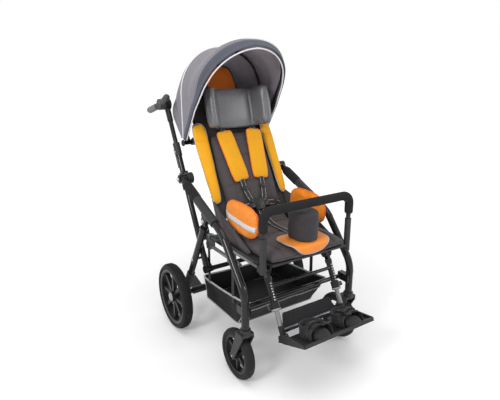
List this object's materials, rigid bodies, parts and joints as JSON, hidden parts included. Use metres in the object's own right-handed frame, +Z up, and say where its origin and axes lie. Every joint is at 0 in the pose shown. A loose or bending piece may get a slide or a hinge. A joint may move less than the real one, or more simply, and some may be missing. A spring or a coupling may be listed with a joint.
{
  "type": "special needs buggy",
  "caption": "Folding special needs buggy: black tube frame, telescopic push handles, reclining padded seat, hood, bumper bar, swivel front casters and adjustable footplate.",
  "frame": {"origin": "on the floor under the centre of the part's bounding box", "axes": "+Z up, -Y to the front (footplate), +X to the occupant's left"},
  "size_m": [0.672, 1.0008, 1.2652],
  "materials": {
    "frame_black": "gloss black paint",
    "dark_moulding": "satin moulded plastic",
    "grey_tube": "satin grey",
    "handle_grey": "soft grey grip",
    "charcoal_fabric": "woven charcoal",
    "orange_fabric": "orange satin weave",
    "yellow_fabric": "yellow orange weave",
    "hood_fabric": "grey hood cloth",
    "headrest_skin": "grey leatherette",
    "black_web": "black webbing",
    "foam_black": "black foam",
    "tyre_black": "black rubber",
    "rim_grey": "moulded rim",
    "basket_cloth": "black basket cloth",
    "plate_black": "ribbed black plate",
    "pedal_dark": "black pedal"
  },
  "bodies": {
    "chassis": {"push_tubes": "frame_black", "knuckles": "dark_moulding", "stem_clamps": "dark_moulding", "lower_cross_tube": "frame_black", "seat_brackets": "dark_moulding", "seat_rails": "frame_black", "rail_fronts": "grey_tube", "seat_board": "plate_black", "seat_braces": "grey_tube", "bumper_sockets": "dark_moulding", "seat_cushion": "charcoal_fabric", "seat_flap": "orange_fabric", "hip_pads": "orange_fabric", "basket": "basket_cloth"},
    "backrest": {"back_tubes": "frame_black", "back_panel": "plate_black", "back_cushion": "charcoal_fabric", "head_panel": "orange_fabric", "side_pad_right": "yellow_fabric", "side_pad_left": "yellow_fabric", "shoulder_pads": "yellow_fabric", "harness_straps": "black_web", "harness_buckle": "plate_black", "hood_brackets": "dark_moulding", "hood_rear_bow": "frame_black", "hood_cover": "hood_fabric"},
    "hood_front": {"hood_front_bow": "frame_black"},
    "hood_middle": {"hood_mid_bow": "frame_black"},
    "headrest": {"headrest_stem": "plate_black", "headrest_pad": "headrest_skin"},
    "front_frame": {"front_legs": "frame_black", "armrest_pads": "foam_black", "elbow_sleeves": "dark_moulding", "front_cross_tube": "frame_black"},
    "rear_frame": {"rear_legs": "frame_black", "wheel_brackets": "dark_moulding", "rear_axle": "frame_black"},
    "brake": {"brake_pedal": "pedal_dark"},
    "fold_link": {"fold_links": "dark_moulding"},
    "rear_wheel_right": {"rear_tyre_right": "tyre_black", "rear_rim_right": "rim_grey"},
    "rear_wheel_left": {"rear_tyre_left": "tyre_black", "rear_rim_left": "rim_grey"},
    "caster_right": {"caster_fork_right": "dark_moulding"},
    "caster_left": {"caster_fork_left": "dark_moulding"},
    "caster_wheel_right": {"caster_tyre_right": "tyre_black", "caster_rim_right": "rim_grey"},
    "caster_wheel_left": {"caster_tyre_left": "tyre_black", "caster_rim_left": "rim_grey"},
    "stem_right": {"handle_stem_right": "handle_grey"},
    "stem_left": {"handle_stem_left": "handle_grey"},
    "grip_right": {"handle_grip_right": "handle_grey"},
    "grip_left": {"handle_grip_left": "handle_grey"},
    "foot_hanger": {"foot_hangers": "grey_tube"},
    "foot_slide": {"foot_slides": "grey_tube"},
    "foot_plate": {"footplate": "plate_black", "foot_straps": "black_web"},
    "bumper": {"bumper_bar": "frame_black", "bumper_foam": "foam_black"},
    "abduction": {"abduction_block": "charcoal_fabric"}
  },
  "joints": [
    {"name": "frame_fold", "type": "hinge", "parent": "chassis", "child": "front_frame", "pos_m": [0, 0.22208, 0.70024], "axis": [1, 0, 0], "range_deg": [0, 19.5], "deforming": ["basket"]},
    {"name": "rear_leg_fold", "type": "hinge", "parent": "front_frame", "child": "rear_frame", "pos_m": [0, 0.01646, 0.57076], "axis": [1, 0, 0], "range_deg": [-39.6, 0]},
    {"name": "link_fold", "type": "hinge", "parent": "chassis", "child": "fold_link", "pos_m": [0, 0.076, 0.33], "axis": [1, 0, 0], "range_deg": [-90.2, 0]},
    {"name": "rear_spin_right", "type": "hinge", "parent": "rear_frame", "child": "rear_wheel_right", "pos_m": [-0.312, 0.25, 0.15], "axis": [1, 0, 0], "continuous": true},
    {"name": "rear_spin_left", "type": "hinge", "parent": "rear_frame", "child": "rear_wheel_left", "pos_m": [0.312, 0.25, 0.15], "axis": [1, 0, 0], "continuous": true},
    {"name": "swivel_right", "type": "hinge", "parent": "front_frame", "child": "caster_right", "pos_m": [-0.26, -0.272, 0.236], "axis": [0, 0, 1], "continuous": true},
    {"name": "swivel_left", "type": "hinge", "parent": "front_frame", "child": "caster_left", "pos_m": [0.26, -0.272, 0.236], "axis": [0, 0, 1], "continuous": true},
    {"name": "caster_spin_right", "type": "hinge", "parent": "caster_right", "child": "caster_wheel_right", "pos_m": [-0.26, -0.218, 0.1], "axis": [1, 0, 0], "continuous": true},
    {"name": "caster_spin_left", "type": "hinge", "parent": "caster_left", "child": "caster_wheel_left", "pos_m": [0.26, -0.218, 0.1], "axis": [1, 0, 0], "continuous": true},
    {"name": "brake_press", "type": "hinge", "parent": "rear_frame", "child": "brake", "pos_m": [-0.19, 0.25, 0.15], "axis": [-1, 0, 0], "range_deg": [0, 20]},
    {"name": "back_recline", "type": "hinge", "parent": "chassis", "child": "backrest", "pos_m": [0, 0.049, 0.5], "axis": [-1, 0, 0], "range_deg": [-5, 30]},
    {"name": "hood_fold", "type": "hinge", "parent": "backrest", "child": "hood_middle", "pos_m": [0, 0.305, 0.838], "axis": [-1, 0, 0], "range_deg": [0, 31], "deforming": ["hood_cover"]},
    {"name": "hood_front_fold", "type": "hinge", "parent": "hood_middle", "child": "hood_front", "pos_m": [0, 0.305, 0.838], "axis": [-1, 0, 0], "range_deg": [0, 31.1]},
    {"name": "headrest_height", "type": "slide", "parent": "backrest", "child": "headrest", "axis": [0, 0.4772, 0.8788], "range_m": [0, 0.035]},
    {"name": "handle_height_right", "type": "slide", "parent": "chassis", "child": "stem_right", "axis": [0, 0.4587, 0.8886], "range_m": [-0.05, 0.08]},
    {"name": "handle_height_left", "type": "slide", "parent": "chassis", "child": "stem_left", "axis": [0, 0.4587, 0.8886], "range_m": [-0.05, 0.08]},
    {"name": "handle_tilt_right", "type": "hinge", "parent": "stem_right", "child": "grip_right", "pos_m": [-0.232, 0.4209, 0.99824], "axis": [1, 0, 0], "range_deg": [-30, 30]},
    {"name": "handle_tilt_left", "type": "hinge", "parent": "stem_left", "child": "grip_left", "pos_m": [0.232, 0.4209, 0.99824], "axis": [1, 0, 0], "range_deg": [-30, 30]},
    {"name": "foot_swing", "type": "hinge", "parent": "chassis", "child": "foot_hanger", "pos_m": [0, -0.241, 0.43], "axis": [-1, 0, 0], "range_deg": [0, 40]},
    {"name": "foot_height", "type": "slide", "parent": "foot_hanger", "child": "foot_slide", "axis": [0, 0.4695, 0.8829], "range_m": [-0.02, 0.05]},
    {"name": "footplate_flip", "type": "hinge", "parent": "foot_slide", "child": "foot_plate", "pos_m": [0, -0.35931, 0.2075], "axis": [-1, 0, 0], "range_deg": [0, 60]},
    {"name": "bumper_lift", "type": "slide", "parent": "chassis", "child": "bumper", "axis": [0, 0, 1], "range_m": [0, 0.055]},
    {"name": "abduction_depth", "type": "slide", "parent": "chassis", "child": "abduction", "axis": [0, 1, 0], "range_m": [-0.02, 0.03]}
  ],
  "couplings": [
    {"joint": "rear_leg_fold", "follows": "frame_fold", "ratio": -2.03},
    {"joint": "link_fold", "follows": "frame_fold", "ratio": -4.62},
    {"joint": "hood_front_fold", "follows": "hood_fold", "ratio": 1}
  ]
}
